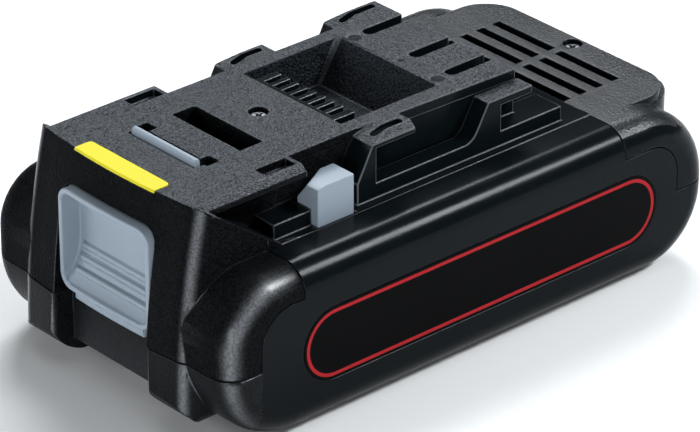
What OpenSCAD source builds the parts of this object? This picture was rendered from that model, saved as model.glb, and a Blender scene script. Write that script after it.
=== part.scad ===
// Slide-on battery pack for a cordless power tool: two case halves screwed together
// around five round cells, with a slide platform on top and a push-down latch in front.
// Millimetres. X runs from the nose to the vent end, Y across, Z up; the origin is on
// the ground under the middle of the pack.

/* [Body] */
// Overall length, nose to vent end
body_l = 139; // [138:1:145]
// Overall width across the cheeks
body_w = 76.8; // [75.6:0.4:80]
// Height of the shoulders above the ground
shoulder_z = 37.4; // [37:0.2:39]
// Height of the slide platform above the ground
platform_z = 51.2; // [50.8:0.2:52.6]
// Wall thickness of both case halves
wall = 2.2; // [1.8:0.1:2.4]
// Rounding along the long edges of the cheeks
cheek_r = 6; // [5:0.5:7]
// Cheek corner radius at the front, top
front_top_r = 13; // [11:0.5:14]
// Cheek corner radius at the front, bottom
front_bottom_r = 19.3; // [17:0.1:20]
// Cheek corner radius at the rear, top
rear_top_r = 18.7; // [17:0.1:19.5]
// Cheek corner radius at the rear, bottom
rear_bottom_r = 16.7; // [14:0.1:17.5]

/* [Seam] */
// Height of the seam between the two case halves at the ends
seam_z = 18; // [17.5:0.1:18.3]
// Gap left between the two case halves
seam_gap = 0.2; // [0.1:0.05:0.3]
// Half width at which the seam runs along the shoulders
seam_y = 27.3; // [27.2:0.1:27.5]
// Height to which the cheeks of the lower case rise at the front corner
cheek_z = 30.8; // [29:0.2:31.4]
// Radius of the front corner of the cheek seam
cheek_seam_r = 8.1; // [6:0.1:9]
// Distance of the cheek seam from the nose
cheek_seam_x = 11.8; // [11.5:0.1:12.6]
// Distance of the shoulder seam from the nose
front_seam_x = 23.3; // [23:0.1:23.8]
// Distance of the rear shoulder seam from the vent end
rear_seam_x = 26.2; // [25.8:0.1:28]
// Distance of the rear cheek seam from the vent end
rear_cheek_x = 10.5; // [10:0.1:11]

/* [Nose] */
// Half width of the nose
nose_hw = 27.2; // [27:0.1:27.4]
// Rounding of the upright nose corners
nose_corner_r = 4.4; // [3.5:0.1:5]
// Bow of the nose front between its corners
nose_bow = 1.9; // [1.5:0.1:2.2]
// Radius of the backward lean of the nose front
nose_lean_r = 196; // [185:1:210]
// Height at which the nose front stands upright
nose_upright_z = 4.7; // [4.2:0.1:5.5]
// Height of the underside of the nose
nose_bottom_z = 2.4; // [2.2:0.1:2.6]
// Rounding of the lower front edge of the nose
nose_foot_r = 12; // [10.5:0.1:12.5]
// Rounding of the lower side edges of the nose
nose_edge_r = 5.5; // [5:0.1:6]
// How far the nose stands in front of the cheeks
nose_reach = 2.7; // [2.2:0.1:3]
// Depth of the nose block behind its front
nose_depth = 28; // [27:0.5:29]
// Distance from the nose front at which the flank ridge leaves the platform
ridge_x = 7.7; // [7.2:0.1:8.4]
// Distance from the nose front at which the flank ridge meets the shoulder
ridge_end_x = 26.9; // [26:0.1:27.6]

/* [Release button] */
// Half width of the button rim
button_hw = 14.45; // [14:0.05:14.7]
// Height of the lower edge of the button rim
button_z0 = 20.1; // [19.8:0.1:20.6]
// Height of the upper edge of the button rim
button_z1 = 43.3; // [43:0.1:43.6]
// Corner rounding of the button rim
button_r = 3.4; // [2.5:0.1:4]
// Set-back of the upright button face from the nose front
button_set = 2; // [1.8:0.1:2.2]
// Width of the rim around the finger scoop
button_rim = 1.2; // [1.1:0.1:1.5]
// Overlap of the wall behind the button over its window
button_lip = 0.4; // [0.3:0.05:0.5]
// Half width of the skirt under the rim
skirt_hw = 11.2; // [10.8:0.1:11.3]
// Height of the skirt under the rim
skirt_h = 2.5; // [2:0.1:3]
// How far the skirt stands behind the rim
skirt_step = 1.4; // [1.2:0.1:1.6]
// Clearance around the button in its pocket
button_gap = 0.4; // [0.3:0.05:0.5]
// Downward travel of the latch
latch_travel = 5; // [4.8:0.1:5.2]
// Height of the nose underside between its two lobes
lobe_gap_z = 5.8; // [5.5:0.1:6.2]
// Rounding of the front edges of the channel below the seam
mouth_r = 2; // [1.5:0.1:2.2]
// Depth of the button pocket and channel behind the nose front
channel_depth = 6; // [5.8:0.1:6.2]
// Depth of the finger scoop behind the nose front
scoop_depth = 7.3; // [7:0.1:7.6]
// Height of the curved lower part of the finger scoop
scoop_rise = 10; // [9:0.1:11]
// Wall behind the finger scoop
scoop_wall = 1.4; // [1.2:0.1:1.6]
// Drop of the button window below the rim
window_drop = 2.4; // [2.2:0.1:2.6]
// Radius of the grip ribs in the scoop
rib_r = 0.7; // [0.5:0.1:0.9]

/* [Slide platform] */
// Half width of the platform
platform_hw = 19; // [18.8:0.1:19.2]
// Extra half width of the right platform edge at its rear end
platform_flare = 1.7; // [1:0.1:1.8]
// Distance of the platform rear wall from the nose front
platform_rear = 97.1; // [96.6:0.1:98]
// Thickness of the platform plate and its tabs
tab_t = 2.5; // [2.2:0.1:2.7]
// Half width of the flat tops of the tabs
tab_hw = 23.3; // [23.1:0.1:23.5]
// Half width of the tabs over their bevels
tab_edge_hw = 24.9; // [24.7:0.1:25.1]
// Drop of the tab bevels
tab_bevel = 1.4; // [1.2:0.1:1.6]
// Step of the platform wall below the plate
wall_step = 0.4; // [0.3:0.1:0.6]
// Distance of the rear end of the front tabs from the nose front
front_tab_end = 35.7; // [35.2:0.1:35.9]
// Distance of the ramp foot of the middle tabs from the nose front
ramp_x = 49.2; // [49:0.1:49.6]
// Height of the upright foot of the ramps above the shoulders
ramp_foot_h = 4.7; // [4.3:0.1:5]
// Length of the steep slope of the ramps
ramp_steep_l = 4.1; // [3.8:0.1:4.4]
// Length of the easy slope of the ramps
ramp_easy_l = 5.6; // [5.2:0.1:6]
// Rise of the easy slope of the ramps
ramp_easy_h = 1.5; // [1.3:0.1:1.8]
// Length of the solid web under the ramps
ramp_web_l = 5.2; // [4.8:0.1:5.6]
// Length of the middle tabs measured from the ramp foot
mid_tab_l = 15.9; // [15.2:0.1:16.4]
// Distance of the ramp foot of the left rear tab from the nose front
rear_ramp_x = 79.6; // [79:0.1:80]
// Height of the rail tops beside the platform
rail_z = 40.8; // [40.4:0.1:41.2]
// Half width of the groove side of the rails
rail_in = 20.4; // [20.2:0.1:20.6]
// Half width of the outer side of the rails
rail_out = 24.9; // [24.7:0.1:25]
// Distance of the front end of the front rails from the nose front
rail_x = 26.6; // [26.2:0.1:27.5]
// Distance of the front end of the long rails from the nose front
rail_mid_x = 54.2; // [53.8:0.1:54.6]
// Distance of the rear end of the left long rail from the nose front
rail_rear_x = 79.1; // [78.7:0.1:79.4]
// Distance of the start of the right rail step from the nose front
step_x = 78.8; // [78.4:0.1:79]
// Bend radius at the foot of the right rail step
step_bend_r = 4; // [3:0.1:4.6]
// Slope of the right rail step in degrees
step_slope = 60; // [50:10:70]
// Height of the raised end of the right rail
step_z = 48.6; // [48.3:0.1:49]
// Thickness of the raised end of the right rail
step_t = 1.8; // [1.6:0.1:2]
// Distance of the rear end of the raised rail from the nose front
step_end = 98.1; // [97.8:0.1:98.5]
// Distance of the front end of the rear key blocks from the nose front
key_x = 88.8; // [88.4:0.1:89.2]
// Distance of the rear end of the rear key blocks from the nose front
key_end = 106.7; // [106.3:0.1:107.2]
// Half width of the inner side of the rear key blocks
key_in = 17; // [16.8:0.1:17.4]

/* [Platform openings] */
// Distance of the terminal pit front from the nose front
pit_x = 53.1; // [52.8:0.1:53.4]
// Length of the terminal pit at the top
pit_l = 26.75; // [26.4:0.05:27]
// Half width of the terminal pit
pit_hw = 15.4; // [15.2:0.1:15.6]
// Height of the terminal pit floor
pit_z = 41.6; // [41.3:0.1:42]
// Length of the sloping rear wall of the pit
pit_slope = 5.8; // [5:0.1:6.2]
// Distance of the rectangular pocket from the nose front
pocket_x = 30; // [29.8:0.1:30.2]
// Length of the rectangular pocket
pocket_l = 6; // [5.8:0.1:6.2]
// Half width of the rectangular pocket
pocket_hw = 10.7; // [10:0.1:11]
// Depth of the rectangular pocket
pocket_depth = 6; // [5:0.1:7]
// Distance of the latch slot from the nose front
slot_x = 18.2; // [17.9:0.1:18.5]
// Length of the latch slot
slot_l = 3.5; // [3.2:0.1:3.8]
// Half width of the latch slot
slot_hw = 10.5; // [10.3:0.1:10.8]
// Length of the ears of the latch slot
ear_l = 5.7; // [5.3:0.1:6]
// Half width of the latch slot across its ears
ear_hw = 11.4; // [11.2:0.1:11.8]
// Inner half width of the ears
ear_in = 8.2; // [8:0.1:8.6]
// Width of the key slots in the rear platform edge
key_slot_w = 3; // [2.6:0.1:3.2]
// Length of the key slots
key_slot_l = 12.3; // [11.5:0.1:12.6]
// Depth of the key slots
key_slot_depth = 4; // [3:0.1:4.5]
// Offset of the outer key slots from the middle
key_slot_y = 12.8; // [12.5:0.1:13.1]
// Offset of the middle key slot to the right
key_slot_mid = 1.7; // [1.4:0.1:2]
// Diameter of the outer mould marks
mark_d = 3.5; // [3:0.1:4]
// Diameter of the small mould mark
mark_small_d = 2.1; // [1.8:0.1:2.4]
// Depth of the mould marks
mark_depth = 0.35; // [0.2:0.05:0.5]
// Distance of the mould marks from the nose front
mark_x = 82.1; // [81.9:0.1:82.4]
// Diameter of the screw access holes
screw_hole_d = 4.2; // [4:0.1:4.5]
// Distance of the front screw from the nose front
front_screw_x = 44.1; // [43.9:0.1:44.3]
// Distance of the rear screw from the vent end
rear_screw_x = 4.8; // [4.6:0.1:5]
// Length of the front tab recesses
recess_l = 8; // [7:0.1:8.4]
// Inner half width of the tab recesses
recess_in = 19.1; // [19:0.1:19.4]
// Outer half width of the front tab recesses
recess_out = 22.5; // [22.3:0.1:22.6]
// Inner half width of the slots in the middle and rear tabs
tab_slot_in = 21; // [20.8:0.1:21.2]
// Outer half width of the slots in the middle and rear tabs
tab_slot_out = 22.9; // [22.6:0.1:23]
// Distance of the tab slots from the ramp foot
tab_slot_x = 6.2; // [5.8:0.1:6.4]
// Distance of the tab slots from the rear end of their tab
tab_slot_end = 1.4; // [1.2:0.1:1.8]

/* [Vent plate] */
// Half width of the vent plate
plate_hw = 29.6; // [29:0.1:29.8]
// Corner radius of the vent plate
plate_r = 9; // [8:0.1:9.5]
// Set-back of the vent plate edge from the vent end
plate_step = 2.1; // [1.8:0.1:2.3]
// Set-back of the rear wall sides from the vent plate sides
block_step = 0.6; // [0.4:0.1:0.8]
// Thickness of the vent plate above the rear wall
plate_t = 2; // [1.8:0.1:2.2]
// Number of vent rows
vent_rows = 4; // [3:1:4]
// Pitch of the vent rows
vent_pitch = 4.83; // [4.5:0.01:4.9]
// Width of each vent
vent_w = 2.1; // [1.8:0.1:2.2]
// Inner end of the vents
vent_in = 1; // [0.8:0.1:1.4]
// Outer end of the vents
vent_out = 18.8; // [17:0.1:19]
// Distance of the last vent row from the vent end
vent_x = 10.2; // [10:0.1:10.4]

/* [Latch yoke] */
// Thickness of the latch bar that stands in the platform slot
bar_t = 1.7; // [1.6:0.1:1.8]
// Half width of the latch bar
bar_hw = 9.9; // [9.5:0.1:10]
// Height of the latch bar above the platform
bar_h = 1.3; // [1:0.1:1.5]
// Length of the side hooks
hook_l = 9.8; // [9.5:0.1:10]
// Distance of the side hooks from the nose front
hook_x = 37; // [36.8:0.1:37.2]
// Inner half width of the side hooks
hook_in = 20.1; // [20:0.1:20.3]
// Outer half width of the side hooks
hook_out = 26.5; // [26.3:0.1:26.6]
// Height of the side hooks
hook_z = 46.2; // [45.6:0.1:46.4]
// Fall of the hook tops towards the front
hook_fall = 0.6; // [0.4:0.1:0.9]
// Length of the falling part of the hook tops
hook_fall_l = 2.1; // [1.8:0.1:2.6]
// Width of the hook front that keeps its full height
hook_flat = 3.4; // [3:0.1:4]
// Tilt of the slanted hook corner in degrees
hook_tilt = 35; // [30:1:40]
// Turn of the slanted hook corner in degrees
hook_turn = 119; // [112:1:124]
// Clearance around the hooks in their windows
hook_gap = 0.4; // [0.3:0.05:0.5]
// Half width of the cross plate of the yoke
yoke_hw = 22; // [21.5:0.1:22.5]
// Distance of the rear edge of the cross plate from the nose front
yoke_end = 21; // [20.6:0.1:21.4]
// Distance of the front end of the yoke arms from the nose front
yoke_arm_x = 15.5; // [15:0.1:16]
// Width of the yoke arms
yoke_arm_w = 4.6; // [4:0.1:4.7]
// Half width of the neck between button and yoke
neck_hw = 8; // [7:0.1:9]
// Drop of the neck below the yoke
neck_drop = 2; // [1.5:0.1:2.5]
// Thickness of the yoke frame
yoke_t = 2.2; // [2:0.1:2.4]

/* [Latch springs] */
// Mean coil radius of the latch springs
spring_r = 3.2; // [2.8:0.1:3.4]
// Wire diameter of the latch springs
spring_wire = 0.8; // [0.7:0.05:0.9]
// Number of turns
spring_turns = 8; // [6:1:9]
// Height of the spring seats on the lower case
spring_seat_z = 9; // [8.5:0.1:10]
// Distance of the springs from the nose front
spring_x = 15.4; // [15.2:0.1:15.8]
// Offset of the springs from the middle
spring_y = 17; // [16.5:0.1:17.5]

/* [Indicator and labels] */
// Half width of the coloured strip on the front edge
strip_hw = 12.6; // [12:0.1:13]
// Distance of the rear edge of the coloured strip from the nose front
strip_end = 10.2; // [9.8:0.1:10.6]
// Thickness of the coloured strip
strip_t = 0.6; // [0.5:0.1:0.8]
// Rounding of the rear corners of the coloured strip
strip_r = 1; // [0.6:0.1:1.4]
// Clearance around the coloured strip
strip_gap = 0.1; // [0.05:0.05:0.2]
// Distance of the front end of the side labels from the nose front
label_front = 22.9; // [22.6:0.1:23.4]
// Distance of the rear end of the side labels from the vent end
label_rear = 16.7; // [16.2:0.1:17.2]
// Height of the side labels
label_h = 16.6; // [15.6:0.2:17]
// Thickness of the side labels
label_t = 0.3; // [0.2:0.05:0.4]
// Depth of the recess that holds a label
label_recess = 0.3; // [0.2:0.05:0.4]
// Height of the label middle
label_z = 18; // [17.6:0.1:18.4]
// Clearance around a label in its recess
label_gap = 0.1; // [0.05:0.05:0.2]

/* [Cells] */
// Cell diameter
cell_d = 18.3; // [18:0.1:18.4]
// Room between a cell end and the outside of the cheek
cell_room = 5.8; // [5.7:0.05:6]
// Distance between cell axes
cell_pitch = 19.8; // [19.6:0.1:20]
// Distance of the middle cell from the nose front
cell_x = 72.5; // [72:0.1:73]
// Number of cells in the row
cell_count = 5; // [5:1:5]
// Diameter of the positive cap of a cell
cap_d = 6.6; // [6:0.1:7.5]
// Height of the positive cap
cap_h = 0.6; // [0.4:0.1:0.8]
// Radial clearance of a cell in its holder
cell_gap = 0.15; // [0.1:0.05:0.2]
// Clearance between the holders and the case floor
holder_gap = 0.6; // [0.5:0.05:0.8]
// Material of the holders above and below the cells
holder_web = 1; // [0.8:0.1:1.1]
// Depth of each holder along the cells
holder_depth = 14; // [12:0.5:15]
// Thickness of the connecting links
link_t = 0.25; // [0.2:0.05:0.3]
// Height of the connecting links
link_h = 9; // [8:0.5:10]
// Thickness of the insulating sheets
sheet_t = 0.3; // [0.2:0.05:0.4]
// Clearance between the links and the insulating sheets
sheet_gap = 0.15; // [0.1:0.05:0.2]

/* [Electronics] */
// Thickness of the circuit board
board_t = 1.6; // [1.4:0.1:1.8]
// Height of the circuit board underside
board_z = 36.2; // [36:0.1:36.4]
// Half width of the circuit board
board_hw = 15.6; // [15.2:0.1:16]
// Length of the circuit board
board_l = 42; // [40:0.5:43]
// Distance of the circuit board from the nose front
board_x = 50; // [49.8:0.1:50.3]
// Distance of the first chip from the board end
chip_x = 14; // [13.5:0.1:14.5]
// Offset of the chips from the middle of the board
chip_y = 2.6; // [2:0.1:3]
// Length of a switching chip
chip_l = 5; // [4:0.1:6]
// Width of a switching chip
chip_w = 6; // [5:0.1:7]
// Height of the chips
chip_t = 1.4; // [1:0.1:1.6]
// Pitch of the switching chips
chip_pitch = 9; // [8:0.1:9.4]
// Length of the control chip
driver_l = 10; // [8:0.1:11]
// Width of the control chip
driver_w = 9.4; // [8:0.1:10]
// Distance of the front end of the board carrier from the nose front
carrier_front = 37; // [36.5:0.1:37.5]
// Distance of the rear end of the board carrier from the nose front
carrier_rear = 108; // [107:0.1:109]
// Half width of the board carrier
carrier_hw = 15; // [14.6:0.1:15.4]
// Half width of the cross arms of the board carrier
arm_hw = 24; // [23:0.1:25]
// Length of the cross arms along the pack
arm_l = 6; // [5:0.1:7]
// Distance of the cross arms from the ends of the board carrier
arm_set = 4; // [3:0.1:5]
// Length of the legs that carry the board
leg_l = 4; // [3:0.1:5]
// Thickness of the board carrier plate
carrier_t = 1.6; // [1.4:0.1:1.8]
// Half width of the terminal comb
comb_hw = 12.45; // [12:0.05:12.6]
// Length of the terminal comb
comb_l = 6.2; // [6:0.1:6.5]
// Drop of the comb top below the platform
comb_drop = 0.6; // [0.4:0.1:0.8]
// Number of slots in the comb
comb_slots = 8; // [8:1:8]
// Pitch of the slots in the comb
comb_pitch = 2.8; // [2.7:0.05:2.85]
// Width of the slots in the comb
comb_slot_w = 1.6; // [1.5:0.05:1.7]
// Thickness of a contact blade
blade_t = 0.5; // [0.4:0.05:0.6]
// Thickness of the front wall of the comb
comb_wall = 1.4; // [1.2:0.1:1.6]
// Height of the comb floor above the board
comb_floor = 2; // [1.8:0.1:2.4]
// Clearance of the blades at the ends of their slots
blade_gap = 0.5; // [0.4:0.1:0.7]
// Drop of the blade tops below the comb top
blade_drop = 3; // [2.6:0.1:3.4]
// Diameter of the temperature sensor bead
bead_d = 2.4; // [2:0.1:2.5]
// Diameter of the sensor leads
lead_d = 0.6; // [0.5:0.05:0.7]
// Height of the sensor bead above the cell axes
bead_rise = 4; // [3.9:0.1:4.3]

/* [Fasteners] */
// Shank diameter of the case screws
screw_d = 2.6; // [2.4:0.1:2.8]
// Head diameter of the case screws
screw_head_d = 3.8; // [3.6:0.1:3.8]
// Head height of the case screws
screw_head_h = 2; // [1.8:0.1:2.2]
// Shank length of the case screws
screw_l = 10; // [9:0.5:11]
// Drop of the screw heads below the surface
screw_drop = 0.9; // [0.7:0.1:1]
// Diameter of the driver recess in the screw heads
drive_d = 1.7; // [1.5:0.1:1.9]
// Drop of the rear screw post below the seam
post_drop = 4; // [3:0.5:5]
// Radial clearance of the rear screw post in the upper case
post_gap = 0.4; // [0.3:0.05:0.5]
// Radial clearance of the screw shanks
screw_gap = 0.2; // [0.15:0.05:0.25]
// Thickness of the case under a screw head
seat_t = 1.5; // [1.2:0.1:1.8]
// Depth of the screw bores below the screw tips
bore_rest = 1; // [0.5:0.1:1.5]
// Diameter of the screw posts
post_d = 6; // [5.6:0.1:6.2]

/* [Hidden] */
// Roundness of drawn circles
$fn = 96;
// Small overlap that lets cutters pass through a surface
cut = 1;
// Length that passes through the whole pack
far = 200;
// Distance of the front and rear ends from the origin
x_front = -body_l / 2;
x_rear = body_l / 2;
half_w = body_w / 2;
pill_x0 = x_front + nose_reach;
pill_x1 = x_rear;
// Axis about which the leaning nose front turns
lean_x = x_front + nose_lean_r;
// Plane positions used by several pieces
floor_z = shoulder_z - wall;
nose_floor_z = nose_bottom_z + nose_foot_r - 3.5;
channel_x = x_front + channel_depth;
flange_x = channel_x - button_gap;
scoop_x = x_front + scoop_depth;
button_back_x = scoop_x + scoop_wall;
window_z = button_z0 - window_drop;
pocket_top_z = button_z1 + button_gap;
pocket_side = button_hw + button_gap;
yoke_x = button_back_x + 2;
yoke_z = floor_z - 0.2 - yoke_t;
platform_x1 = x_front + platform_rear;
under_plate_z = platform_z - wall;
holder_z0 = wall + holder_gap;
cell_z = holder_z0 + holder_web + cell_gap + cell_d / 2;
holder_z1 = cell_z + cell_d / 2 + cell_gap + holder_web;
cell_mid_x = x_front + cell_x;
cell_l = body_w - 2 * cell_room;
cell_end = cell_l / 2;
holder_out = cell_end - 0.7;
link_y = cell_end + 0.05;
sheet_y = link_y + link_t + sheet_gap;
carrier_z1 = holder_z1 + carrier_t;
board_z1 = board_z + board_t;
bar_x = x_front + slot_x + 0.3;
front_screw = x_front + front_screw_x;
rear_screw = x_rear - rear_screw_x;
front_head_z = platform_z - screw_drop - screw_head_h;
rear_head_z = shoulder_z - screw_drop - screw_head_h;
comb_x = x_front + pit_x + 0.3;
comb_z1 = platform_z - comb_drop;
blade_x = comb_x + comb_wall + blade_gap;
label_l = body_l - label_front - label_rear;
label_mid = (label_front - label_rear) / 2;
label_y = half_w - label_recess;
spring_z1 = yoke_z;
sense_x = cell_mid_x + cell_pitch / 2;
sense_z = cell_z + bead_rise;

// A box given by its two opposite corners
module box(lo, hi) {
    translate(lo)
        cube(hi - lo);
}

// The same piece on both sides of the pack
module both() {
    children();
    mirror([0, 1, 0])
        children();
}

// A shape drawn in X and Z, as thick as the span from y0 to y1
module across(y0, y1) {
    translate([0, y1, 0])
        rotate([90, 0, 0])
            linear_extrude(height = y1 - y0)
                children();
}

// Section of a rounded edge: a strip with its two outer corners rounded
module edge_section(r, w, f) {
    translate([0, -w])
        square([r - f, 2 * w]);
    translate([0, f - w])
        square([r, 2 * (w - f)]);
    for (side = [-1, 1])
        translate([r - f, side * (w - f)])
            circle(f);
}

// One rounded corner of the cheeks, turned about an axis across the pack
module pill_corner(x, z, start, r, w, f) {
    translate([x, 0, z])
        rotate([90, 0, 0])
            rotate([0, 0, start])
                rotate_extrude(angle = 90)
                    edge_section(r, w, f);
}

// The rounded body below the shoulders, set in by a wall thickness
module pill(inset) {
    x0 = pill_x0 + inset;
    x1 = pill_x1 - inset;
    z0 = inset;
    z1 = shoulder_z - inset;
    w = half_w - inset;
    f = cheek_r - inset;
    a = front_top_r - inset;
    b = front_bottom_r - inset;
    c = rear_top_r - inset;
    d = rear_bottom_r - inset;
    x_mid0 = x0 + max(a, b);
    x_mid1 = x1 - max(c, d);
    z_top = z1 - max(a, c);
    z_low = z0 + max(b, d);
    pill_corner(x0 + a, z1 - a, 90, a, w, f);
    pill_corner(x0 + b, z0 + b, 180, b, w, f);
    pill_corner(x1 - d, z0 + d, 270, d, w, f);
    pill_corner(x1 - c, z1 - c, 0, c, w, f);
    top_run = (x1 - c - x0 - a) / 2 + cut;
    low_run = (x1 - d - x0 - b) / 2 + cut;
    translate([x1 - c, 0, z_top])
        rotate([0, -90, 0])
            linear_extrude(height = top_run)
                edge_section(z1 - z_top, w, f);
    translate([x0 + a, 0, z_top])
        mirror([1, 0, 0])
            rotate([0, -90, 0])
                linear_extrude(height = top_run)
                    edge_section(z1 - z_top, w, f);
    translate([x0 + b, 0, z_low])
        rotate([0, 90, 0])
            linear_extrude(height = low_run)
                edge_section(z_low - z0, w, f);
    translate([x1 - d, 0, z_low])
        mirror([1, 0, 0])
            rotate([0, 90, 0])
                linear_extrude(height = low_run)
                    edge_section(z_low - z0, w, f);
    front_run = (z1 - a - z0 - b) / 2 + cut;
    rear_run = (z1 - c - z0 - d) / 2 + cut;
    translate([x_mid0, 0, z0 + b])
        rotate([0, 0, 180])
            linear_extrude(height = front_run)
                edge_section(x_mid0 - x0, w, f);
    translate([x_mid0, 0, z1 - a])
        mirror([0, 0, 1])
            rotate([0, 0, 180])
                linear_extrude(height = front_run)
                    edge_section(x_mid0 - x0, w, f);
    translate([x_mid1, 0, z0 + d])
        linear_extrude(height = rear_run)
            edge_section(x1 - x_mid1, w, f);
    translate([x_mid1, 0, z1 - c])
        mirror([0, 0, 1])
            linear_extrude(height = rear_run)
                edge_section(x1 - x_mid1, w, f);
    box([x_mid0 - cut / 2, -w, z0 + f], [x_mid1 + cut / 2, w, z1 - f]);
}

// Plan section of the nose: bowed front and rounded corners, measured from the lean axis
module nose_section(inset) {
    r = nose_lean_r - inset;
    w = nose_hw - inset;
    f = nose_corner_r - min(inset, nose_corner_r - 1);
    bow_r = (w * w + nose_bow * nose_bow) / (2 * nose_bow);
    bow_x = r - bow_r;
    corner_y = w - f;
    corner_x = bow_x + sqrt(pow(bow_r - f, 2) - corner_y * corner_y);
    lean = asin(corner_y / (bow_r - f));
    difference() {
        intersection() {
            translate([r - nose_depth, -w])
                square([nose_depth, 2 * w]);
            translate([bow_x, 0])
                circle(bow_r, $fn = 720);
        }
        for (side = [-1, 1])
            difference() {
                polygon([[corner_x, side * corner_y],
                    [corner_x + 3 * f * cos(lean), side * (corner_y + 3 * f * sin(lean))],
                    [corner_x + 3 * f, side * (corner_y + 3 * f)],
                    [corner_x, side * (corner_y + 3 * f)]]);
                translate([corner_x, side * corner_y])
                    circle(f);
            }
    }
}

// The leaning nose before it is trimmed; a negative inset stands in front of it
module nose_lean(inset) {
    translate([lean_x, 0, nose_upright_z])
        rotate([90, 0, 0])
            rotate([0, 0, 160])
                rotate_extrude(angle = 22, $fn = 720)
                    nose_section(inset);
}

// The flank ridge: everything under the slanted line beside the platform
module under_ridge() {
    slope = (platform_z - shoulder_z) / (ridge_end_x - ridge_x);
    across(-far, far)
        polygon([[x_front - cut, 0],
            [x_front - cut, platform_z + cut],
            [x_front + ridge_x - cut / slope, platform_z + cut],
            [x_front + ridge_end_x, shoulder_z],
            [x_front + ridge_end_x, 0]]);
}

// Strip whose two lower corners are rounded, seen along the nose or across it
module round_foot(lo, hi, r) {
    in = r * cos(15);
    z = nose_bottom_z + in;
    translate([lo - cut, z])
        square([hi - lo + 2 * cut, platform_z]);
    translate([lo + in, nose_bottom_z - cut])
        square([hi - lo - 2 * in, in + 2 * cut]);
    for (y = [lo + in, hi - in])
        translate([y, z])
            circle(r);
}

// The whole nose block with its ridge and rounded lower edges
module nose() {
    difference() {
        intersection() {
            nose_lean(0);
            box([x_front - cut, -far, nose_bottom_z], [far, far, platform_z]);
            union() {
                under_ridge();
                box([x_front - cut, -platform_hw, 0], [far, platform_hw, far]);
            }
            across(-far, far)
                round_foot(x_front, far, nose_foot_r);
            translate([-far, 0, 0])
                rotate([90, 0, 90])
                    linear_extrude(height = 2 * far)
                        round_foot(-nose_hw, nose_hw, nose_edge_r);
        }
        box([x_front - cut, -pocket_side, 0], [far, pocket_side, lobe_gap_z]);
    }
}

// A plate with rounded rear corners, up to the given rear end
module rear_plate(x0, x1, hw, r, z0, z1) {
    translate([x0, 0, z0])
        linear_extrude(height = z1 - z0)
            edge_section(x1 - x0, hw, r);
}

// The outside of the body without the slide platform
module body_outside() {
    pill(0);
    nose();
    rear_plate(x_rear - rear_seam_x, x_rear, plate_hw - block_step, plate_r,
        seam_z - 8, shoulder_z - plate_t);
    rear_plate(x_rear - rear_seam_x, x_rear - plate_step, plate_hw, plate_r,
        shoulder_z - plate_t, shoulder_z);
}

// The hollow inside of the body, with a wall kept behind the button pocket
module body_inside() {
    difference() {
        union() {
            pill(wall);
            intersection() {
                nose_lean(wall);
                box([x_front, -far, nose_floor_z],
                    [x_front + ridge_end_x - 4, far, floor_z]);
            }
            rear_plate(x_rear - rear_seam_x - wall, x_rear - wall - plate_step,
                plate_hw - wall - plate_step, plate_r - wall, seam_z - 4, floor_z);
        }
        box([x_front - cut, -pocket_side - wall, -cut],
            [channel_x + wall, pocket_side + wall, platform_z]);
    }
}

// Side view of the high cheeks of the lower case
module cheek_window(grow) {
    x0 = x_front + cheek_seam_x - grow;
    x1 = x_front + front_seam_x - grow;
    x2 = x_rear - rear_seam_x + grow;
    x3 = x_rear - rear_cheek_x + grow;
    z1 = cheek_z + grow;
    r = cheek_seam_r + grow;
    translate([x1, 0])
        square([x2 - x1, platform_z]);
    translate([x0, 0])
        square([x3 - x0, z1 - r]);
    translate([x0 + r, 0])
        square([x3 - x0 - 2 * r, z1]);
    for (x = [x0 + r, x3 - r])
        translate([x, z1 - r])
            circle(r);
}

// The space that belongs to the lower case
module lower_zone(grow) {
    box([-far, -far, -cut], [far, far, seam_z + grow]);
    both()
        across(-far, grow - seam_y)
            cheek_window(grow);
}

// The windows through which the side hooks rise
module hook_windows() {
    both()
        box([x_front + hook_x - hook_gap, hook_in - hook_gap, floor_z - cut],
            [x_front + hook_x + hook_l + hook_gap, hook_out + hook_gap, platform_z - tab_t]);
}

// Pocket, window and channel for the release button
module button_way() {
    window_hw = pocket_side - button_lip;
    translate([x_front - cut, 0, 0])
        rotate([90, 0, 90])
            linear_extrude(height = channel_x - x_front + cut) {
                button_outline(-button_gap);
                translate([-pocket_side, 0])
                    square([2 * pocket_side, button_z1 - button_r]);
            }
    box([channel_x - cut, -window_hw, window_z],
        [channel_x + wall + cut, window_hw, pocket_top_z]);
}

// Rounded front edges of the channel between the two nose lobes
module channel_mouth() {
    in = mouth_r * cos(15);
    x = x_front + nose_bow / 3 + in;
    y = pocket_side + in;
    difference() {
        box([x_front - cut, -y, 0], [x, y, seam_z + cut]);
        for (side = [-1, 1])
            translate([x, side * y, -cut])
                cylinder(r = mouth_r, h = far);
    }
}

// Round seats that centre the latch springs on the floor
module spring_seats() {
    both()
        translate([x_front + spring_x, spring_y, wall / 2])
            cylinder(d = 2 * spring_r + 2.6, h = spring_seat_z - wall / 2);
}

// Rear screw post rising from the floor, cut by the screw bore
module rear_post() {
    difference() {
        intersection() {
            translate([rear_screw, 0, seam_z - post_drop])
                cylinder(d = post_d, h = rear_head_z - seat_t - seam_z + post_drop);
            pill(wall / 2);
        }
        translate([rear_screw, 0, rear_head_z - screw_l - bore_rest])
            cylinder(d = screw_d + 2 * screw_gap, h = far);
    }
}

module lower_case() {
    color("dimgray")
        difference() {
            union() {
                difference() {
                    intersection() {
                        body_outside();
                        lower_zone(0);
                    }
                    body_inside();
                }
                intersection() {
                    spring_seats();
                    pill(wall / 2);
                }
                rear_post();
            }
            hook_windows();
            button_way();
            channel_mouth();
            both()
                label_shape(label_y, half_w + cut, label_gap);
        }
}

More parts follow.
